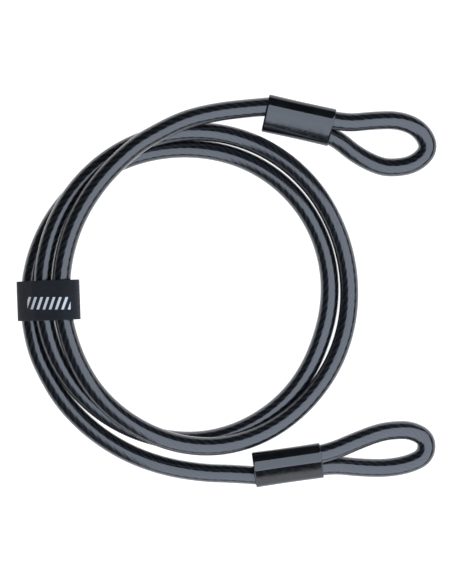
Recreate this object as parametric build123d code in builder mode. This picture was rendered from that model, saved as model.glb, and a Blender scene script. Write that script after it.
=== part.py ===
"""Double-loop security cable: a sheathed wire rope with a crimped eye at each end, coiled and tied."""
from build123d import *
import math
import os

os.makedirs("parts", exist_ok=True)

# Cable: a twisted steel rope in a plastic sheath
cable_diameter = 10.0
rope_diameter = 7.0
core_clearance = 0.05

# Crimp ferrules and the covers over them. The cable's two legs lie beside each other, the one
# raised above the other by the tilt, in degrees
crimp_squeeze = 1.0
leg_gap = 0.05
leg_tilt = 42.0
ferrule_length = 33.0
ferrule_wall = 1.0
cover_wall = 0.7
cover_overhang = 2.0
cover_rounding = 0.3
sleeve_clearance = 0.05

# Where each ferrule's middle lies, and how far its axis turns from +X, in degrees
upper_ferrule_place = (38.7, 92.6)
upper_ferrule_turn = -12.6
lower_ferrule_place = (32.8, -94.3)
lower_ferrule_turn = 8.2

# Coil: centre, the angles at which the cable comes into it and leaves it, counted on
# through all the turns, and the step between the sections of its solid, in degrees
coil_centre = (-20.2, 1.3)
coil_start = 100
coil_end = 930
section_step = 15
section_sides = 24

# (angle, distance of the cable's centre from the coil's centre)
coil_radii = [
    (100, 86.1), (114, 79.6), (129, 74.6), (145, 71.4), (162, 69.5), (182, 69.0), (205, 70.5),
    (231, 75.7), (249, 79.5), (275, 85.4), (294, 87.5), (330, 87.6), (366, 86.2), (384, 85.8),
    (405, 86.3), (438, 85.9), (468, 83.8), (504, 80.9), (540, 79.3), (576, 81.5), (606, 82.4),
    (627, 82.8), (672, 79.5), (705, 76.0), (786, 76.0), (820, 76.9), (870, 83.2), (930, 90.6),
]

# (angle, height of the cable's centre)
coil_heights = [
    (100, 22.2), (115, 23.5), (144, 21.7), (160, 19.1), (180, 17.2), (200, 16.4), (231, 16.0),
    (264, 15.1), (294, 12.2), (330, 8.1), (348, 7.0), (384, 9.6), (402, 9.0), (438, 9.3),
    (468, 13.4), (495, 14.8), (522, 14.5), (545, 13.6), (560, 12.2), (576, 9.8), (591, 7.2),
    (606, 5.3), (620, 5.0), (862, 5.0), (886, 6.9), (905, 7.2), (918, 6.8), (930, 5.4),
]

# Free stretches of the cable, each from its ferrule to the coil
upper_lead_points = [
    (10.9, 98.7, 13.9), (-5.8, 96.5, 16.8), (-22.9, 92.1, 20.3), (-39.6, 83.4, 22.7),
]
lower_lead_points = [
    (3.3, -99.3, 5.8), (-12.7, -99.1, 5.2), (-34.7, -95.6, 5.0), (-55.7, -87.8, 5.0),
    (-74.4, -75.6, 5.0), (-89.5, -60.1, 5.0), (-98.8, -44.1, 5.0),
]

# Eyes, from the leg that lies higher in the ferrule round to the one that lies lower
upper_eye_points = [
    (64.8, 90.8, 12.4), (78.3, 92.3, 11.4), (93.4, 92.9, 9.9), (105.1, 87.9, 8.3),
    (110.5, 77.4, 7.0), (101.9, 68.7, 6.0), (88.4, 66.9, 5.3), (79.8, 69.2, 5.2),
    (69.3, 74.9, 5.4), (59.4, 83.2, 6.0),
]
lower_eye_points = [
    (56.2, -86.7, 12.5), (68.7, -81.4, 12.0), (81.4, -76.6, 11.0), (90.4, -75.2, 9.9),
    (99.8, -75.3, 8.6), (108.5, -79.9, 7.6), (108.0, -89.5, 6.7), (99.3, -94.1, 5.8),
    (87.3, -96.4, 5.3), (72.3, -96.1, 5.3), (57.3, -94.4, 5.9),
]

# Strap: hook-and-loop tape round the three strands at the coil's left
strap_angle = 184.6
strap_turn = 182.0
strap_width = 21.4
strap_gap = 1.4
strap_shift = 0.5
tape_thickness = 0.8
pile_thickness = 0.5
hook_thickness = 0.5
peel_gap = 0.3
root_height = 13.0
flap_end = 9.6
patch_margin = 1.5

run_share = 0.45


def value_on(course, angle):
    """A smooth curve through the course's values, level where they turn back."""
    spans = range(len(course) - 1)
    span = next((k for k in spans if angle <= course[k + 1][0]), len(course) - 2)
    slopes = []
    for k in (span, span + 1):
        before = course[max(k - 1, 0)]
        here = course[k]
        after = course[min(k + 1, len(course) - 1)]
        turns = (here[1] - before[1]) * (after[1] - here[1]) <= 0
        inside = 0 < k < len(course) - 1
        slopes.append(0 if turns and inside else (after[1] - before[1]) / (after[0] - before[0]))
    width = course[span + 1][0] - course[span][0]
    t = (angle - course[span][0]) / width
    rise = course[span + 1][1] - course[span][1]
    bend = (slopes[0] + slopes[1]) * width - 2 * rise
    lift = 3 * rise - (2 * slopes[0] + slopes[1]) * width
    return course[span][1] + slopes[0] * width * t + lift * t**2 + bend * t**3


def strands_at(angle):
    """(radius, height) of each strand of the coil that passes this angle."""
    turns = range(angle, coil_end + 1, 360)
    return [(value_on(coil_radii, a), value_on(coil_heights, a)) for a in turns if a >= coil_start]


def coil_section(angle):
    """The outline that encloses the strands at this angle, as tangent lines all the way round."""
    corners = []
    turn = 2 * math.pi / section_sides
    for k in range(section_sides):
        ends = []
        for side in (k, k + 1):
            nx = math.cos(side * turn)
            nz = math.sin(side * turn)
            reach = max(r * nx + z * nz for r, z in strands_at(angle)) + cable_diameter / 2
            ends.append((nx, nz, reach))
        (ax, az, a), (bx, bz, b) = ends
        cross = ax * bz - az * bx
        corners.append(((a * bz - b * az) / cross, (b * ax - a * bx) / cross))
    return corners


def radial_plane(angle):
    """Upright plane through the coil's axis: local X runs outwards, local Y up."""
    outward = Vector(math.cos(math.radians(angle)), math.sin(math.radians(angle)), 0)
    return Plane(origin=(*coil_centre, 0), x_dir=outward, z_dir=outward.cross(Vector(0, 0, 1)))


def ferrule_plane(place, turn):
    """Plane across a ferrule at its middle: local X runs from the low leg to the high one."""
    along = Vector(math.cos(math.radians(turn)), math.sin(math.radians(turn)), 0)
    across = Vector(-along.Y, along.X, 0) * math.cos(math.radians(leg_tilt))
    rise = Vector(0, 0, math.sin(math.radians(leg_tilt)))
    middle = Vector(*place, outer_diameter / 2) + rise * leg_spacing / 2
    return Plane(origin=middle, x_dir=across + rise, z_dir=along)


def corner_radii(points):
    """For each corner, the largest arc that its two runs leave room for."""
    radii = []
    for before, here, after in zip(points, points[1:], points[2:]):
        incoming = here - before
        outgoing = after - here
        half_turn = math.radians(incoming.get_angle(outgoing)) / 2
        shorter = min(incoming.length, outgoing.length)
        radii.append(run_share * shorter / math.tan(half_turn))
    return radii


def finish(builder, name):
    """Label the piece and write it."""
    builder.part.label = name
    export_step(builder.part, f"parts/{name}.step")


crimped_diameter = cable_diameter - crimp_squeeze
leg_spacing = cable_diameter + leg_gap
outer_diameter = crimped_diameter + 2 * ferrule_wall + 2 * cover_wall + 2 * sleeve_clearance
cover_length = ferrule_length + 2 * cover_overhang


# ---- Coil: closed solid of the coil's outer shape, in two halves that share their end sections
with BuildPart() as cable_coil:
    for half_start in (0, 180):
        for angle in range(half_start, half_start + 181, section_step):
            with BuildSketch(radial_plane(angle)):
                with BuildLine():
                    Polyline(*coil_section(angle % 360), close=True)
                make_face()
        loft(ruled=True)
finish(cable_coil, "cable_coil")


def make_tube(points, diameters):
    """A round bar, or a tube if there are two diameters, along straight runs joined by arcs."""
    corners = [Vector(*point) for point in points]
    radii = corner_radii(corners)
    with BuildPart() as tube:
        with BuildLine() as route:
            FilletPolyline(*corners, radius=radii)
        with BuildSketch(Plane(origin=route.line @ 0, z_dir=route.line % 0)):
            Circle(diameters[0] / 2)
            for bore in diameters[1:]:
                Circle(bore / 2, mode=Mode.SUBTRACT)
        sweep(path=route.line)
    return tube, sum(edge.length for edge in route.edges()), radii


# ---- Ferrules: both legs of the cable squeezed in an oval crimp, under a cover. The leg that
# goes on to the coil is the high one (side 1) in the upper ferrule and the low one (-1) in the
# lower, and the other leg is the cable's cut end
ferrules = {
    "upper": (upper_ferrule_place, upper_ferrule_turn, upper_eye_points, upper_lead_points, 1),
    "lower": (lower_ferrule_place, lower_ferrule_turn, lower_eye_points, lower_lead_points, -1),
}
tubes = {}

for end, (place, turn, eye_points, lead_points, lead_side) in ferrules.items():
    middle = ferrule_plane(place, turn)
    left = middle.offset(-ferrule_length / 2)
    right = middle.offset(ferrule_length / 2)
    ferrule_height = crimped_diameter + 2 * ferrule_wall
    bore_height = ferrule_height + 2 * sleeve_clearance
    legs = Locations((-leg_spacing / 2, 0), (leg_spacing / 2, 0))

    with BuildPart() as crimped_legs:
        with BuildSketch(left):
            with legs:
                Circle(crimped_diameter / 2)
        extrude(amount=ferrule_length)
    finish(crimped_legs, f"{end}_crimped_legs")

    with BuildPart() as crimp_ferrule:
        with BuildSketch(left):
            SlotCenterToCenter(leg_spacing, ferrule_height)
            SlotCenterToCenter(leg_spacing, crimped_diameter, mode=Mode.SUBTRACT)
        extrude(amount=ferrule_length)
    finish(crimp_ferrule, f"{end}_crimp_ferrule")

    with BuildPart() as ferrule_cover:
        with BuildSketch(middle.offset(-cover_length / 2)):
            SlotCenterToCenter(leg_spacing, outer_diameter)
            SlotCenterToCenter(leg_spacing, bore_height, mode=Mode.SUBTRACT)
        extrude(amount=cover_length)
        end_faces = ferrule_cover.faces().filter_by(Axis(middle.origin, middle.z_dir))
        fillet([edge for face in end_faces for edge in face.outer_wire().edges()], cover_rounding)
    finish(ferrule_cover, f"{end}_ferrule_cover")

    with BuildPart() as cut_end:
        with BuildSketch(left):
            with Locations((-lead_side * leg_spacing / 2, 0)):
                Circle(cable_diameter / 2)
        extrude(amount=-cover_overhang)
    finish(cut_end, f"{end}_cut_end")

    standing_leg = left.from_local_coords((lead_side * leg_spacing / 2, 0, 0))
    tubes[f"{end}_lead"] = ([tuple(standing_leg), *lead_points], [cable_diameter])

    high_leg = right.from_local_coords((leg_spacing / 2, 0, 0))
    low_leg = right.from_local_coords((-leg_spacing / 2, 0, 0))
    eye_route = [tuple(high_leg), *eye_points, tuple(low_leg)]
    tubes[f"{end}_eye_sheath"] = (eye_route, [cable_diameter, rope_diameter + 2 * core_clearance])
    tubes[f"{end}_eye_rope"] = (eye_route, [rope_diameter])

# ---- Free cable: the leads between ferrule and coil, and each eye's sheath and rope
for name, (points, diameters) in tubes.items():
    tube, length, radii = make_tube(points, diameters)
    finish(tube, name)
    area = math.pi / 4 * (diameters[0] ** 2 - sum(bore**2 for bore in diameters[1:]))
    print(name, "length", round(length, 1), "volume / (section x length)",
          round(tube.part.volume / (area * length), 4), "radii", [round(r, 1) for r in radii])


# ---- Strap: the tape's closed ring, and on it the flap with which it closes
bundle_radii = [r for r, z in strands_at(round(strap_angle))]
bundle_middle = (min(bundle_radii) + max(bundle_radii)) / 2
strap_out = Vector(math.cos(math.radians(strap_turn)), math.sin(math.radians(strap_turn)), 0)
strap_place = radial_plane(strap_angle).from_local_coords((bundle_middle, 0, 0))
strap_plane = Plane(
    origin=strap_place,
    x_dir=strap_out,
    z_dir=strap_out.cross(Vector(0, 0, 1)),
)


def tape_outline(gap):
    """Hull round the strands under the strap, this far from them."""
    with BuildSketch() as outline:
        for r, z in strands_at(round(strap_angle)):
            with Locations((r - bundle_middle - strap_shift, z)):
                Circle(cable_diameter / 2 + gap)
        make_hull()
    return outline.sketch


def strap_layer(gap, thickness, name, margin=0, span=None):
    """One layer of the strap: a closed ring, or what lies above root_height and before span."""
    outer = tape_outline(gap + thickness)
    inner = tape_outline(gap)
    width = strap_width - 2 * margin
    with BuildPart() as layer:
        with BuildSketch(strap_plane.offset(-width / 2)):
            add(outer)
            add(inner, mode=Mode.SUBTRACT)
            if span:
                low_corner = (-strap_width * 2, root_height + margin)
                with Locations(low_corner):
                    Rectangle(span - margin - low_corner[0], strap_width * 2,
                              align=(Align.MIN, Align.MIN), mode=Mode.INTERSECT)
        extrude(amount=width)
    finish(layer, name)
    return layer


pile_gap = strap_gap + tape_thickness
hook_gap = pile_gap + pile_thickness + peel_gap
flap_gap = hook_gap + hook_thickness
strap_layer(strap_gap, tape_thickness, "strap_band")
strap_layer(pile_gap, pile_thickness, "strap_loop_patch", margin=patch_margin, span=flap_end)
strap_layer(hook_gap, hook_thickness, "strap_hook_patch", margin=patch_margin, span=flap_end)
flap = strap_layer(flap_gap, tape_thickness, "strap_flap", span=flap_end)

# The flap peels about its root, on the bundle's inner side
root_reach = min(r for r, z in strands_at(round(strap_angle))) - bundle_middle - strap_shift
root_reach -= cable_diameter / 2 + flap_gap + tape_thickness / 2
root = strap_plane.from_local_coords((root_reach, root_height, 0))
print("flap root", root, "hinge direction", strap_plane.z_dir)
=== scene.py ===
# Double-loop security cable: coiled wire rope in a smoked sheath, a crimped eye at each end, one strap
import math
import bmesh
import bpy
import numpy as np
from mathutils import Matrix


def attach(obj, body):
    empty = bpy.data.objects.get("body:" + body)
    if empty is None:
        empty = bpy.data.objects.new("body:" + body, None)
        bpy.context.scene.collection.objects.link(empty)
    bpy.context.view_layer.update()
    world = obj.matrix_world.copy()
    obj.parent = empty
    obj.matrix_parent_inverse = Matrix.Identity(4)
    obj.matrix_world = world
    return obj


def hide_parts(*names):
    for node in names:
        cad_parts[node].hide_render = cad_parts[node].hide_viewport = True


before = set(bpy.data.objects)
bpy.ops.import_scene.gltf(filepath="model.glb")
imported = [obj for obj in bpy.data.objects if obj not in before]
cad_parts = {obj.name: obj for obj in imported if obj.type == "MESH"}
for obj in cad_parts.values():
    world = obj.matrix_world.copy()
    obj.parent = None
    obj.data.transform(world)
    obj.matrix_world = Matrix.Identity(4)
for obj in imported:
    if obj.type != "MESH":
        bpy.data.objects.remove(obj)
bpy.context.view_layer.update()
print("frame loaded,", len(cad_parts), "nodes")

mm = 0.001


# ---- Camera, floor and lights

view = {
    "aim": (-0.0007, -0.0004),
    "height": 0.9,
    "shownHeight": 0.3171,    # of the plane at aimHeight, from the frame's bottom to its top
    "aimHeight": 0.008,
    "sensor": 36,
}

cameraData = bpy.data.cameras.new("camera")
cameraData.sensor_width = view["sensor"]
cameraData.lens = view["sensor"] * (view["height"] - view["aimHeight"]) / view["shownHeight"]
cameraData.clip_start = 0.01
camera = bpy.data.objects.new("camera", cameraData)
camera.location = (*view["aim"], view["height"])
bpy.context.scene.collection.objects.link(camera)
bpy.context.scene.camera = camera
bpy.context.scene.view_settings.view_transform = "Standard"

studio = {
    "floorHalf": 13.0,
    "floorDrop": 0.0002,         # keeps the floor just under the cable
    "floorColour": (0.30, 0.30, 0.30, 1),
    "floorGlow": 0.93,           # the floor is a light table, so shadows on it stay faint
    "softboxHeight": 0.5,
    # Corners of the softbox overhead, as shares of its height
    "softboxCorners": [(-0.15, 0.13), (2.3, 1.6), (2.5, -4.6), (-1.6, -4.6)],
    "softboxRadiance": 3.6,
    "softboxColour": (0.84, 0.94, 1.12),
    "fillSize": 5.0,
    "fillHeight": 2.4,
    "fillRadiance": 1.0,
    "worldRadiance": 0.05,
    "worldColour": (0.9, 0.95, 1.0, 1),
}


def nodesOf(material):
    tree = material.node_tree
    return tree.nodes, tree.links


# Flat sheet of the studio that gives off light of its own
def makeSheet(name, corners, colour, glow, glowColour):
    mesh = bpy.data.meshes.new(name)
    mesh.from_pydata(corners, [], [(0, 1, 2, 3)])
    sheet = bpy.data.objects.new(name, mesh)
    bpy.context.scene.collection.objects.link(sheet)
    material = bpy.data.materials.new(name)
    material.use_nodes = True
    shader = material.node_tree.nodes["Principled BSDF"]
    shader.inputs["Base Color"].default_value = colour
    shader.inputs["Roughness"].default_value = 0.9
    shader.inputs["Specular IOR Level"].default_value = 0.0
    shader.inputs["Emission Color"].default_value = (*glowColour, 1)
    shader.inputs["Emission Strength"].default_value = glow
    mesh.materials.append(material)
    return sheet


def makeFloor():
    half, level = studio["floorHalf"], -studio["floorDrop"]
    corners = [(x * half, y * half, level) for x, y in ((-1, -1), (1, -1), (1, 1), (-1, 1))]
    makeSheet("floor", corners, studio["floorColour"], studio["floorGlow"], (1, 1, 1))


def makeSoftbox():
    height = studio["softboxHeight"]
    corners = [(x * height, y * height, height) for x, y in studio["softboxCorners"]]
    sheet = makeSheet("softbox", corners, (0, 0, 0, 1), studio["softboxRadiance"],
                      studio["softboxColour"])
    sheet.visible_camera = False


# Square area light overhead that gloss doesn't show. Radiance = power / (pi * area)
def makeFill():
    light = bpy.data.lights.new("fill", "AREA")
    light.shape = "SQUARE"
    light.size = studio["fillSize"]
    light.energy = studio["fillRadiance"] * math.pi * studio["fillSize"] ** 2
    lamp = bpy.data.objects.new("fill", light)
    lamp.location = (0, 0, studio["fillHeight"])
    lamp.visible_glossy = False
    lamp.visible_camera = False
    bpy.context.scene.collection.objects.link(lamp)


makeFloor()
makeSoftbox()
makeFill()

world = bpy.data.worlds.new("dimRoom")
world.use_nodes = True
background = world.node_tree.nodes["Background"]
background.inputs["Color"].default_value = studio["worldColour"]
background.inputs["Strength"].default_value = studio["worldRadiance"]
bpy.context.scene.world = world
print("camera and lights placed")


# ---- Cable routes, in metres: the points that are not coiled are listed one by one

cable = {
    "diameter": 0.010,
    "sides": 40,
    "ropeDiameter": 0.007,
    "ropeStrands": 8,
    "ropeLay": 0.058,        # length in which a strand goes once round
    "relief": 0.00001,       # how far the strands show through the sheath as low waves
}

coil = {
    "centre": (-0.0202, 0.0013),
    "from": 111, "to": 921, "points": 63,
    # (angle, distance of the cable's centre from the coil's centre), mm
    "radii": [
        (100, 86.1), (114, 79.6), (129, 74.6), (145, 71.4), (162, 69.5), (182, 69.0), (205, 70.5),
        (231, 75.7), (249, 79.5), (275, 85.4), (294, 87.5), (330, 87.6), (366, 86.2), (384, 85.8),
        (405, 86.3), (438, 85.9), (468, 83.8), (504, 80.9), (540, 79.3), (576, 81.5), (606, 82.4),
        (627, 82.8), (672, 79.5), (705, 76.0), (786, 76.0), (820, 76.9), (870, 83.2), (930, 90.6),
    ],
    # (angle, height of the cable's centre), mm
    "heights": [
        (100, 22.2), (115, 23.5), (144, 21.7), (160, 19.1), (180, 17.2), (200, 16.4), (231, 16.0),
        (264, 15.1), (294, 12.2), (330, 8.1), (348, 7.0), (384, 9.6), (402, 9.0), (438, 9.3),
        (468, 13.4), (495, 14.8), (522, 14.5), (545, 13.6), (560, 12.2), (576, 9.8), (591, 7.2),
        (606, 5.3), (620, 5.0), (862, 5.0), (886, 6.9), (905, 7.2), (918, 6.8), (930, 5.4),
    ],
}

leads = {
    "upper": [
        (0.0109, 0.0987, 0.0139), (-0.0058, 0.0965, 0.0168), (-0.0229, 0.0921, 0.0203),
        (-0.0396, 0.0834, 0.0227),
    ],
    "lower": [
        (0.0033, -0.0993, 0.0058), (-0.0127, -0.0991, 0.0052), (-0.0347, -0.0956, 0.0050),
        (-0.0557, -0.0878, 0.0050), (-0.0744, -0.0756, 0.0050), (-0.0895, -0.0601, 0.0050),
        (-0.0988, -0.0441, 0.0050),
    ],
}

eyes = {
    "upper": [
        (0.0648, 0.0908, 0.0124), (0.0783, 0.0923, 0.0114), (0.0934, 0.0929, 0.0099),
        (0.1051, 0.0879, 0.0083), (0.1105, 0.0774, 0.0070), (0.1019, 0.0687, 0.0060),
        (0.0884, 0.0669, 0.0053), (0.0798, 0.0692, 0.0052), (0.0693, 0.0749, 0.0054),
        (0.0594, 0.0832, 0.0060),
    ],
    "lower": [
        (0.0562, -0.0867, 0.0125), (0.0687, -0.0814, 0.0120), (0.0814, -0.0766, 0.0110),
        (0.0904, -0.0752, 0.0099), (0.0998, -0.0753, 0.0086), (0.1085, -0.0799, 0.0076),
        (0.1080, -0.0895, 0.0067), (0.0993, -0.0941, 0.0058), (0.0873, -0.0964, 0.0053),
        (0.0723, -0.0961, 0.0053), (0.0573, -0.0944, 0.0059),
    ],
}

crimp = {
    "place": {"upper": (0.0387, 0.0926), "lower": (0.0328, -0.0943)},
    "turn": {"upper": -12.6, "lower": 8.2},
    "length": 0.033,
    "legSpacing": 0.01005,
    "legTilt": 42.0,
    "outerDiameter": 0.0125,
    "standingLeg": {"upper": 1, "lower": -1},   # 1 is the high leg, -1 the low one
}


# The crimp's own axes: along it, from the low leg to the high one, and its middle
def crimpAxes(end):
    turn = math.radians(crimp["turn"][end])
    along = np.array([math.cos(turn), math.sin(turn), 0])
    tilt = math.radians(crimp["legTilt"])
    between = np.array([-along[1], along[0], 0]) * math.cos(tilt) + np.array([0, 0, math.sin(tilt)])
    height = crimp["outerDiameter"] / 2 + crimp["legSpacing"] / 2 * math.sin(tilt)
    middle = np.array([*crimp["place"][end], height])
    return along, between, middle


# Where a leg leaves the crimp: end face 1 is towards the eye, -1 towards the coil
def legPoint(end, leg, face):
    along, between, middle = crimpAxes(end)
    return middle + along * face * crimp["length"] / 2 + between * leg * crimp["legSpacing"] / 2


# Smooth curve through (angle, value) pairs: a cubic on each span, level where the values turn back
def valueOn(course, angles):
    at, values = np.array(course, float).T
    slopes = np.zeros(len(at))
    slopes[1:-1] = (values[2:] - values[:-2]) / (at[2:] - at[:-2])
    turnsBack = (values[1:-1] - values[:-2]) * (values[2:] - values[1:-1]) <= 0
    slopes[1:-1][turnsBack] = 0
    slopes[0] = (values[1] - values[0]) / (at[1] - at[0])
    slopes[-1] = (values[-1] - values[-2]) / (at[-1] - at[-2])
    span = np.clip(np.searchsorted(at, angles) - 1, 0, len(at) - 2)
    width = at[span + 1] - at[span]
    t = (angles - at[span]) / width
    rise = values[span + 1] - values[span]
    bend = (slopes[span] + slopes[span + 1]) * width - 2 * rise
    lift = 3 * rise - (2 * slopes[span] + slopes[span + 1]) * width
    return values[span] + slopes[span] * width * t + lift * t**2 + bend * t**3


# Coil turns: x = cx + r cos a, y = cy + r sin a, z = height. The control points stand out by
# 1 / cos(half a step), because the spline cuts inside them
def coilPoints():
    angles = np.linspace(coil["from"], coil["to"], coil["points"])
    halfStep = math.radians((angles[1] - angles[0]) / 2)
    reach = valueOn(coil["radii"], angles) * mm / math.cos(halfStep)
    x = coil["centre"][0] + reach * np.cos(np.radians(angles))
    y = coil["centre"][1] + reach * np.sin(np.radians(angles))
    return np.column_stack([x, y, valueOn(coil["heights"], angles) * mm])


# Points along a route's own NURBS spline
def readSpline(name, controls, resolution):
    curve = bpy.data.curves.new(name, "CURVE")
    curve.dimensions = "3D"
    spline = curve.splines.new("NURBS")
    spline.points.add(len(controls) - 1)
    spline.points.foreach_set("co", np.column_stack([controls, np.ones(len(controls))]).ravel())
    spline.order_u = 3
    spline.use_endpoint_u = True
    spline.resolution_u = resolution
    route = bpy.data.objects.new(name, curve)
    mesh = bpy.data.meshes.new_from_object(route)
    points = np.zeros(len(mesh.vertices) * 3)
    mesh.vertices.foreach_get("co", points)
    bpy.data.objects.remove(route)
    bpy.data.curves.remove(curve)
    bpy.data.meshes.remove(mesh)
    points = points.reshape(-1, 3)
    apart = np.linalg.norm(np.diff(points, axis=0), axis=1) > 1e-7
    return points[np.concatenate([[True], apart])]


def lengthOf(points):
    return float(np.linalg.norm(np.diff(points, axis=0), axis=1).sum())


# The same line with points a fixed step apart
def evenly(points, step):
    run = np.concatenate([[0], np.cumsum(np.linalg.norm(np.diff(points, axis=0), axis=1))])
    wanted = np.linspace(0, run[-1], max(2, round(run[-1] / step) + 1))
    return np.column_stack([np.interp(wanted, run, points[:, k]) for k in range(3)])


# ---- Meshes

def meshFrom(name, vertices, faces, uv=None):
    mesh = bpy.data.meshes.new(name)
    mesh.from_pydata(np.asarray(vertices).tolist(), [], faces)
    if uv is not None:
        layer = mesh.uv_layers.new(name="UVMap")
        layer.data.foreach_set("uv", np.asarray(uv, np.float32).ravel())
    mesh.polygons.foreach_set("use_smooth", np.ones(len(mesh.polygons), bool))
    piece = bpy.data.objects.new(name, mesh)
    bpy.context.scene.collection.objects.link(piece)
    return piece


# Directions along a line, and two more at right angles carried along it without twist
def framesAlong(points):
    along = np.gradient(points, axis=0)
    along /= np.linalg.norm(along, axis=1)[:, None]
    up = np.array([0.0, 0.0, 1.0])
    side = np.cross(up, along)
    side /= np.linalg.norm(side, axis=1)[:, None]
    return along, side, np.cross(along, side)


# Tube: point + side * r cos v + up * r sin v, where r may differ over the grid (rows along,
# columns round). The UV map is (metres along, share of the way round). Ends close on a point
def tubeFrom(name, points, radius, sides):
    along, side, up = framesAlong(points)
    turn = np.linspace(0, 2 * math.pi, sides, endpoint=False)
    radius = np.broadcast_to(radius, (len(points), sides))
    ring = (points[:, None] + side[:, None] * (radius * np.cos(turn))[..., None]
            + up[:, None] * (radius * np.sin(turn))[..., None])
    vertices = ring.reshape(-1, 3)
    row, column = np.meshgrid(np.arange(len(points) - 1), np.arange(sides), indexing="ij")
    after = (column + 1) % sides
    faces = np.stack([row * sides + column, row * sides + after,
                      (row + 1) * sides + after, (row + 1) * sides + column], -1).reshape(-1, 4)
    run = np.concatenate([[0], np.cumsum(np.linalg.norm(np.diff(points, axis=0), axis=1))])
    uv = np.stack([
        np.stack([run[row], run[row], run[row + 1], run[row + 1]], -1),
        np.stack([column, column + 1, column + 1, column], -1) / sides], -1).reshape(-1, 4, 2)
    faceList = faces.tolist()
    uvList = [uv.reshape(-1, 2)]
    first, last = len(vertices), len(vertices) + 1
    vertices = np.vstack([vertices, points[0], points[-1]])
    k = np.arange(sides)
    follow = (k + 1) % sides
    base = (len(points) - 1) * sides
    faceList += np.column_stack([np.full(sides, first), follow, k]).tolist()
    faceList += np.column_stack([np.full(sides, last), base + k, base + follow]).tolist()
    for metres, shares in ((run[0], (k + 0.5, k + 1, k)), (run[-1], (k + 0.5, k, k + 1))):
        uvList.append(np.stack([np.column_stack([np.full(sides, metres), share / sides])
                                for share in shares], 1).reshape(-1, 2))
    return meshFrom(name, vertices, faceList, np.vstack(uvList))


# Sheath over laid strands: radius = half the diameter + relief * (|cos| of the strand's own angle),
# which goes round once in each lay
def sheathRadius(points, sides, diameter):
    run = np.concatenate([[0], np.cumsum(np.linalg.norm(np.diff(points, axis=0), axis=1))])
    turn = np.linspace(0, 2 * math.pi, sides, endpoint=False)
    phase = cable["ropeStrands"] * (turn[None] - 2 * math.pi * run[:, None] / cable["ropeLay"]) / 2
    return diameter / 2 + cable["relief"] * (np.abs(np.cos(phase)) - 1)


# ---- Materials

def newMaterial(name):
    material = bpy.data.materials.new(name)
    material.use_nodes = True
    return material, material.node_tree.nodes["Principled BSDF"]


def addMath(nodes, links, operation, first, second=None):
    node = nodes.new("ShaderNodeMath")
    node.operation = operation
    for socket, value in zip(node.inputs, (first, second)):
        if value is None:
            continue
        if isinstance(value, (int, float)):
            socket.default_value = value
        else:
            links.new(value, socket)
    return node.outputs[0]


def addRamp(nodes, links, factor, stops):
    ramp = nodes.new("ShaderNodeValToRGB")
    while len(ramp.color_ramp.elements) < len(stops):
        ramp.color_ramp.elements.new(0.5)
    for element, (place, colour) in zip(ramp.color_ramp.elements, stops):
        element.position = place
        element.color = (*colour, 1) if len(colour) == 3 else colour
    links.new(factor, ramp.inputs[0])
    return ramp.outputs[0]


def addBump(nodes, links, height, distance, strength, before=None):
    bump = nodes.new("ShaderNodeBump")
    bump.inputs["Strength"].default_value = strength
    bump.inputs["Distance"].default_value = distance
    links.new(height, bump.inputs["Height"])
    if before is not None:
        links.new(before, bump.inputs["Normal"])
    return bump.outputs[0]


def addNoise(nodes, links, vector, scale, detail=3, roughness=0.5):
    noise = nodes.new("ShaderNodeTexNoise")
    noise.inputs["Scale"].default_value = scale
    noise.inputs["Detail"].default_value = detail
    noise.inputs["Roughness"].default_value = roughness
    links.new(vector, noise.inputs["Vector"])
    return noise.outputs["Fac"]


sheathLook = {
    "strands": 12,
    "wires": 60,
    "slant": 0.062,          # length in which a strand's streak goes once round
    "wireSteepness": 1.7,    # times the strand's own slant
    "strandShare": 0.30,
    "wireShare": 0.13,
    "deep": (0.0016, 0.0020, 0.0028),
    "strand": (0.0040, 0.0050, 0.0066),
    "glint": (0.0130, 0.0155, 0.0180),
    "roughness": 0.34,
    "coatRoughness": 0.06,
    "wave": 0.00009,
}


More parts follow.
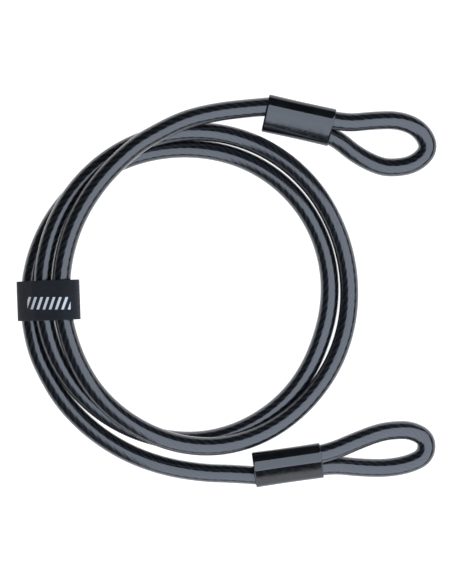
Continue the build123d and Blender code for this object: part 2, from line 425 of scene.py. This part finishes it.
# Smoked sheath: the rope shows through as slanting strands, each strand made of finer wires.
# strand place = strands * (v - u / slant), wire place = the same with more wires, more steeply
def sheathMaterial(name):
    material, shader = newMaterial(name)
    nodes, links = nodesOf(material)
    uvMap = nodes.new("ShaderNodeUVMap")
    uvMap.uv_map = "UVMap"
    parts = nodes.new("ShaderNodeSeparateXYZ")
    links.new(uvMap.outputs[0], parts.inputs[0])
    along, around = parts.outputs[0], parts.outputs[1]
    turns = addMath(nodes, links, "MULTIPLY", along, -1 / sheathLook["slant"])
    laid = addMath(nodes, links, "ADD", around, turns)
    strandPlace = addMath(nodes, links, "MULTIPLY", laid, sheathLook["strands"])
    strandPhase = addMath(nodes, links, "MULTIPLY", strandPlace, 2 * math.pi)
    strandWave = addMath(nodes, links, "COSINE", strandPhase)
    wireSlant = -sheathLook["wireSteepness"] / sheathLook["slant"]
    wireTurns = addMath(nodes, links, "MULTIPLY", along, wireSlant)
    wireLaid = addMath(nodes, links, "ADD", around, wireTurns)
    wirePlace = addMath(nodes, links, "MULTIPLY", wireLaid, sheathLook["wires"] * 2 * math.pi)
    wireWave = addMath(nodes, links, "COSINE", wirePlace)
    grainSpace = nodes.new("ShaderNodeCombineXYZ")
    links.new(addMath(nodes, links, "MULTIPLY", along, 120), grainSpace.inputs[0])
    links.new(addMath(nodes, links, "MULTIPLY", around, 9), grainSpace.inputs[1])
    patches = addNoise(nodes, links, grainSpace.outputs[0], 1.0, 4, 0.6)
    shares = []
    for wave, share in ((strandWave, sheathLook["strandShare"]), (wireWave, sheathLook["wireShare"])):
        lifted = addMath(nodes, links, "MULTIPLY_ADD", wave, share)
        lifted.node.inputs[2].default_value = share
        shares.append(lifted)
    bare = addMath(nodes, links, "ADD", *shares)
    patched = addMath(nodes, links, "MULTIPLY", bare, addMath(nodes, links, "ADD", patches, 0.5))
    colour = addRamp(nodes, links, patched, [
        (0.12, sheathLook["deep"]), (0.62, sheathLook["strand"]), (0.98, sheathLook["glint"])])
    links.new(colour, shader.inputs["Base Color"])
    strandHeight = addBump(nodes, links, bare, 0.0002, 0.5)
    links.new(strandHeight, shader.inputs["Normal"])
    shader.inputs["Roughness"].default_value = sheathLook["roughness"]
    shader.inputs["Specular IOR Level"].default_value = 0.12
    shader.inputs["Coat Weight"].default_value = 1.0
    waveSpace = nodes.new("ShaderNodeCombineXYZ")
    links.new(addMath(nodes, links, "MULTIPLY", along, 210), waveSpace.inputs[0])
    links.new(addMath(nodes, links, "MULTIPLY", laid, 14), waveSpace.inputs[1])
    waves = addNoise(nodes, links, waveSpace.outputs[0], 1.0, 3, 0.6)
    surface = addMath(nodes, links, "ADD", waves, addMath(nodes, links, "MULTIPLY", bare, 0.5))
    links.new(addBump(nodes, links, surface, sheathLook["wave"], 0.5), shader.inputs["Coat Normal"])
    shader.inputs["Coat Roughness"].default_value = sheathLook["coatRoughness"]
    shader.inputs["Coat IOR"].default_value = 1.5
    return material


coverLook = {
    "deep": (0.0016, 0.0019, 0.0024),
    "light": (0.0042, 0.0048, 0.0056),
    "roughness": 0.07,
}


# Moulded black cover: faint flow marks in the colour, fine orange peel and sparse scuffs
def coverMaterial(name):
    material, shader = newMaterial(name)
    nodes, links = nodesOf(material)
    place = nodes.new("ShaderNodeTexCoord").outputs["Object"]
    flow = addNoise(nodes, links, place, 90, 4, 0.6)
    links.new(addRamp(nodes, links, flow, [(0.35, coverLook["deep"]), (0.75, coverLook["light"])]),
              shader.inputs["Base Color"])
    scuffs = addNoise(nodes, links, place, 420, 6, 0.7)
    roughness = nodes.new("ShaderNodeMapRange")
    roughness.inputs["From Min"].default_value = 0.45
    roughness.inputs["From Max"].default_value = 0.8
    roughness.inputs["To Min"].default_value = coverLook["roughness"]
    roughness.inputs["To Max"].default_value = coverLook["roughness"] + 0.14
    links.new(scuffs, roughness.inputs["Value"])
    links.new(roughness.outputs[0], shader.inputs["Roughness"])
    peel = addNoise(nodes, links, place, 650, 2, 0.4)
    links.new(addBump(nodes, links, peel, 0.00003, 0.25), shader.inputs["Normal"])
    shader.inputs["IOR"].default_value = 1.52
    return material


# Bare metal: brushed or cast grain, lightly tarnished
def metalMaterial(name, dark, light, roughness, grain, stretch):
    material, shader = newMaterial(name)
    nodes, links = nodesOf(material)
    place = nodes.new("ShaderNodeTexCoord").outputs["Object"]
    mapping = nodes.new("ShaderNodeMapping")
    mapping.inputs["Scale"].default_value = stretch
    links.new(place, mapping.inputs["Vector"])
    tarnish = addNoise(nodes, links, mapping.outputs[0], grain, 5, 0.6)
    links.new(addRamp(nodes, links, tarnish, [(0.3, dark), (0.75, light)]), shader.inputs["Base Color"])
    links.new(addBump(nodes, links, tarnish, 0.00004, 0.4), shader.inputs["Normal"])
    spread = nodes.new("ShaderNodeMapRange")
    spread.inputs["To Min"].default_value = roughness - 0.08
    spread.inputs["To Max"].default_value = roughness + 0.12
    links.new(tarnish, spread.inputs["Value"])
    links.new(spread.outputs[0], shader.inputs["Roughness"])
    shader.inputs["Metallic"].default_value = 1.0
    return material


# Woven tape: warp and weft as crossed ribs. Place across the tape is y, place along it is x + z,
# which runs on smoothly where the tape turns from level to upright
tapeLook = {
    "rib": 0.0011,           # warp threads, apart across the tape
    "pick": 0.0008,          # weft threads, apart along it
    # Printed slanted bars: the oblong they fill, their step and the share of it that is printed
    "barFromX": -0.1072, "barToX": -0.0835, "barFromY": -0.0097, "barToY": -0.0031,
    "barStep": 0.0034, "barShare": 0.42, "barSlant": 0.35,
    "barColour": (0.40, 0.41, 0.42, 1),
}


def addRange(nodes, links, value, low, high):
    return addMath(nodes, links, "MULTIPLY", addMath(nodes, links, "GREATER_THAN", value, low),
                   addMath(nodes, links, "LESS_THAN", value, high))


def tapeMaterial(name, dark, light, bars):
    material, shader = newMaterial(name)
    nodes, links = nodesOf(material)
    coordinates = nodes.new("ShaderNodeTexCoord")
    place = coordinates.outputs["Object"]
    parts = nodes.new("ShaderNodeSeparateXYZ")
    links.new(place, parts.inputs[0])
    x, y, z = parts.outputs
    lengthwise = addMath(nodes, links, "ADD", x, z)
    ribPhase = addMath(nodes, links, "MULTIPLY", y, 2 * math.pi / tapeLook["rib"])
    rib = addMath(nodes, links, "COSINE", ribPhase)
    ribHalf = addMath(nodes, links, "MULTIPLY", addMath(nodes, links, "SIGN", rib), 0.25)
    pickPlace = addMath(nodes, links, "MULTIPLY", lengthwise, 1 / tapeLook["pick"])
    pickTurns = addMath(nodes, links, "ADD", pickPlace, ribHalf)
    pick = addMath(nodes, links, "COSINE", addMath(nodes, links, "MULTIPLY", pickTurns, 2 * math.pi))
    ribHeight = addMath(nodes, links, "MULTIPLY", addMath(nodes, links, "ABSOLUTE", rib), 0.55)
    weave = addMath(nodes, links, "ADD", ribHeight, addMath(nodes, links, "MULTIPLY", pick, 0.22))
    fuzz = addNoise(nodes, links, place, 1600, 3, 0.6)
    shade = addMath(nodes, links, "ADD", weave, addMath(nodes, links, "MULTIPLY", fuzz, 0.35))
    colour = addRamp(nodes, links, shade, [(0.15, dark), (0.85, light)])
    if bars:
        normalParts = nodes.new("ShaderNodeSeparateXYZ")
        links.new(coordinates.outputs["Normal"], normalParts.inputs[0])
        lean = addMath(nodes, links, "MULTIPLY", y, tapeLook["barSlant"])
        slanted = addMath(nodes, links, "SUBTRACT", x, lean)
        barPlace = addMath(nodes, links, "MULTIPLY", slanted, 1 / tapeLook["barStep"])
        steps = addMath(nodes, links, "FRACT", barPlace)
        inBar = addMath(nodes, links, "LESS_THAN", steps, tapeLook["barShare"])
        inside = addMath(nodes, links, "MULTIPLY",
                         addRange(nodes, links, x, tapeLook["barFromX"], tapeLook["barToX"]),
                         addRange(nodes, links, y, tapeLook["barFromY"], tapeLook["barToY"]))
        topOnly = addMath(nodes, links, "GREATER_THAN", normalParts.outputs[2], 0.5)
        shown = addMath(nodes, links, "MULTIPLY", inBar, inside)
        printed = addMath(nodes, links, "MULTIPLY", shown, topOnly)
        mix = nodes.new("ShaderNodeMix")
        mix.data_type = "RGBA"
        links.new(printed, mix.inputs["Factor"])
        links.new(colour, mix.inputs["A"])
        mix.inputs["B"].default_value = tapeLook["barColour"]
        colour = mix.outputs["Result"]
    links.new(colour, shader.inputs["Base Color"])
    links.new(addBump(nodes, links, shade, 0.0002, 0.7), shader.inputs["Normal"])
    shader.inputs["Roughness"].default_value = 0.8
    shader.inputs["Specular IOR Level"].default_value = 0.15
    shader.inputs["Sheen Weight"].default_value = 0.08
    return material


# Pile of loops, or a field of hooks: one small bump per cell
def gripMaterial(name, dark, light, cells, roughness):
    material, shader = newMaterial(name)
    nodes, links = nodesOf(material)
    place = nodes.new("ShaderNodeTexCoord").outputs["Object"]
    cell = nodes.new("ShaderNodeTexVoronoi")
    cell.inputs["Scale"].default_value = cells
    links.new(place, cell.inputs["Vector"])
    tuft = addNoise(nodes, links, place, cells * 2.2, 3, 0.7)
    dip = addMath(nodes, links, "MULTIPLY", cell.outputs["Distance"], 0.5)
    height = addMath(nodes, links, "SUBTRACT", tuft, dip)
    links.new(addRamp(nodes, links, height, [(0.1, dark), (0.55, light)]), shader.inputs["Base Color"])
    links.new(addBump(nodes, links, height, 0.0003, 0.9), shader.inputs["Normal"])
    shader.inputs["Roughness"].default_value = roughness
    shader.inputs["Specular IOR Level"].default_value = 0.2
    return material


# Cut end of the cable: wires of the rope inside a ring of sheath.
# distance from the axis = |(place - middle) - axis * ((place - middle) . axis)|
def cutEndMaterial(name, middle, axis):
    material, shader = newMaterial(name)
    nodes, links = nodesOf(material)
    place = nodes.new("ShaderNodeTexCoord").outputs["Object"]

    def vectorMath(operation, first, second):
        node = nodes.new("ShaderNodeVectorMath")
        node.operation = operation
        for socket, value in zip(node.inputs, (first, second)):
            if isinstance(value, tuple):
                socket.default_value = value
            elif value is not None:
                links.new(value, socket)
        return node

    offset = vectorMath("SUBTRACT", place, tuple(middle)).outputs[0]
    reach = vectorMath("DOT_PRODUCT", offset, tuple(axis)).outputs["Value"]
    onAxis = nodes.new("ShaderNodeVectorMath")
    onAxis.operation = "SCALE"
    onAxis.inputs[0].default_value = tuple(axis)
    links.new(reach, onAxis.inputs["Scale"])
    sideways = vectorMath("SUBTRACT", offset, onAxis.outputs[0]).outputs[0]
    distance = vectorMath("LENGTH", sideways, None).outputs["Value"]
    wires = nodes.new("ShaderNodeTexVoronoi")
    wires.inputs["Scale"].default_value = 1300
    links.new(place, wires.inputs["Vector"])
    inRope = addMath(nodes, links, "LESS_THAN", distance, cable["ropeDiameter"] / 2)
    steel = addRamp(nodes, links, wires.outputs["Distance"], [
        (0.1, (0.42, 0.43, 0.44)), (0.6, (0.05, 0.05, 0.055))])
    mix = nodes.new("ShaderNodeMix")
    mix.data_type = "RGBA"
    links.new(inRope, mix.inputs["Factor"])
    mix.inputs["A"].default_value = (*sheathLook["strand"], 1)
    links.new(steel, mix.inputs["B"])
    links.new(mix.outputs["Result"], shader.inputs["Base Color"])
    links.new(addMath(nodes, links, "MULTIPLY", inRope, 0.9), shader.inputs["Metallic"])
    shader.inputs["Roughness"].default_value = 0.35
    return material


smokedSheath = sheathMaterial("smokedSheath")
blackCover = coverMaterial("blackCover")
steelRope = metalMaterial("steelRope", (0.20, 0.21, 0.22), (0.46, 0.47, 0.48), 0.34, 900, (1, 1, 1))
crimpMetal = metalMaterial("crimpMetal", (0.42, 0.42, 0.41), (0.66, 0.66, 0.64), 0.38, 500, (0.3, 1, 1))
flapTape = tapeMaterial("flapTape", (0.0026, 0.0030, 0.0040), (0.0085, 0.0098, 0.0125), True)
bandTape = tapeMaterial("bandTape", (0.0060, 0.0070, 0.0074), (0.0170, 0.0195, 0.0205), False)
loopPile = gripMaterial("loopPile", (0.003, 0.003, 0.004), (0.020, 0.021, 0.023), 1500, 0.95)
hookField = gripMaterial("hookField", (0.004, 0.004, 0.005), (0.030, 0.031, 0.033), 900, 0.6)
print("materials made")


# ---- Cable: coil and both leads are one length

def makeCable():
    start = legPoint("upper", crimp["standingLeg"]["upper"], -1)
    finish = legPoint("lower", crimp["standingLeg"]["lower"], -1)
    controls = np.vstack([start, leads["upper"], coilPoints(), leads["lower"][::-1], finish])
    points = evenly(readSpline("cableRoute", controls, 12), 0.0024)
    radius = sheathRadius(points, cable["sides"], cable["diameter"])
    piece = tubeFrom("security_cable", points, radius, cable["sides"])
    piece.data.materials.append(smokedSheath)
    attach(piece, "cable")
    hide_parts("cable_coil", "upper_lead", "lower_lead")
    print("cable", round(lengthOf(points), 4), "m,", len(points), "rings")
    return piece, points


securityCable, cablePath = makeCable()


# ---- Eyes: one length of cable each, which stands for the sheath and its rope

def makeEyes():
    for end, points in eyes.items():
        controls = np.vstack([legPoint(end, 1, 1), points, legPoint(end, -1, 1)])
        line = evenly(readSpline(end + "EyeRoute", controls, 24), 0.0012)
        radius = sheathRadius(line, cable["sides"], cable["diameter"])
        sheath = tubeFrom(end + "_eye", line, radius, cable["sides"])
        sheath.data.materials.append(smokedSheath)
        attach(sheath, "cable")
        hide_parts(end + "_eye_sheath", end + "_eye_rope")
        print(end, "eye", round(lengthOf(line), 4), "m")


makeEyes()


# ---- Crimps: moulded covers, and the CAD ferrules, legs and cut ends with their finishes

cover = {
    "overhang": 0.002,       # past each end of the ferrule
    "bore": 0.00555,
    "waist": 0.00018,        # how much slimmer the middle is than the lips
    "lip": 0.0013,           # how far along the cover the rounding at each lip runs
    "lipSteps": 12,
    "boreRing": 0.003,       # how far inside each mouth the bore's next ring lies
    "sides": 96,
    "stations": 41,
}


# Slot outline round two legs: each leg's own half circle, joined by flats
def slotRing(radius, sides):
    turn = np.linspace(0, 2 * math.pi, sides, endpoint=False) + math.pi / sides
    half = np.where(np.cos(turn) > 0, 1, -1) * crimp["legSpacing"] / 2
    return half + radius * np.cos(turn), radius * np.sin(turn)


# Rings go along the outside, round the lip and back through the bore, and the last joins the first
def makeCover(end):
    along, between, middle = crimpAxes(end)
    outwards = np.cross(along, between)
    half = crimp["length"] / 2 + cover["overhang"]
    outer, bore, lip = crimp["outerDiameter"] / 2, cover["bore"], cover["lip"]
    body = np.linspace(-half + lip, half - lip, cover["stations"])
    outside = [(x, outer - cover["waist"] * (1 - (x / half) ** 2)) for x in body]
    lipDepth = (outer - bore) / 2
    bend = np.linspace(0, math.pi, cover["lipSteps"] + 1)[1:-1]
    crown = (outer + bore) / 2
    rounding = [(half - lip + lip * math.sin(a), crown + lipDepth * math.cos(a)) for a in bend]
    inner = half - cover["boreRing"]
    inside = [(x, bore) for x in (half - lip, inner, 0, -inner, -half + lip)]
    profile = outside + rounding + inside + [(-x, r) for x, r in rounding[::-1]]
    sides = cover["sides"]
    rows = []
    for x, radius in profile:
        across, up = slotRing(radius, sides)
        rows.append(middle + along * x + across[:, None] * between + up[:, None] * outwards)
    count = len(profile)
    row, column = np.meshgrid(np.arange(count), np.arange(sides), indexing="ij")
    nextRow, nextColumn = (row + 1) % count, (column + 1) % sides
    faces = np.stack([row * sides + column, nextRow * sides + column,
                      nextRow * sides + nextColumn, row * sides + nextColumn], -1).reshape(-1, 4)
    shell = meshFrom(end + "_moulded_cover", np.vstack(rows), faces[:, ::-1].tolist())
    shell.data.materials.append(blackCover)
    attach(shell, "cable")
    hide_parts(end + "_ferrule_cover")


for end in ("upper", "lower"):
    makeCover(end)
    cutSide = -crimp["standingLeg"][end]
    cutEnd = cutEndMaterial(end + "CutEnd", legPoint(end, cutSide, -1), crimpAxes(end)[0])
    finishes = {"crimp_ferrule": crimpMetal, "crimped_legs": steelRope, "cut_end": cutEnd}
    for part, finish in finishes.items():
        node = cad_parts[end + "_" + part]
        node.data.materials.clear()
        node.data.materials.append(finish)
print("covers made")


# ---- Strap: tape, loop pile and hooks, with softened edges

strap = {
    "edge": 0.00028,         # size of the rounding
    "edgeAngle": 50,         # edges sharper than this are rounded
    "joinWithin": 1e-6,
    "flatWithin": 0.6,       # triangles that turn less than this become one face
}


# A CAD piece with its loose triangles joined into whole faces, and its edges rounded
def makeSoftEdged(name, part, body, finish):
    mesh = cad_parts[part].data.copy()
    shape = bmesh.new()
    shape.from_mesh(mesh)
    bmesh.ops.remove_doubles(shape, verts=shape.verts, dist=strap["joinWithin"])
    bmesh.ops.dissolve_limit(shape, angle_limit=math.radians(strap["flatWithin"]),
                             verts=shape.verts, edges=shape.edges)
    bmesh.ops.recalc_face_normals(shape, faces=shape.faces)
    shape.to_mesh(mesh)
    shape.free()
    mesh.materials.clear()
    mesh.materials.append(finish)
    piece = bpy.data.objects.new(name, mesh)
    bpy.context.scene.collection.objects.link(piece)
    rounding = piece.modifiers.new("edge", "BEVEL")
    rounding.width = strap["edge"]
    rounding.segments = 3
    rounding.limit_method = "ANGLE"
    rounding.angle_limit = math.radians(strap["edgeAngle"])
    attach(piece, body)
    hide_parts(part)


makeSoftEdged("strap_band_tape", "strap_band", "strap", bandTape)
makeSoftEdged("strap_pile", "strap_loop_patch", "strap", loopPile)
makeSoftEdged("strap_flap_tape", "strap_flap", "strap_flap", flapTape)
makeSoftEdged("strap_hooks", "strap_hook_patch", "strap_flap", hookField)
print("strap made")
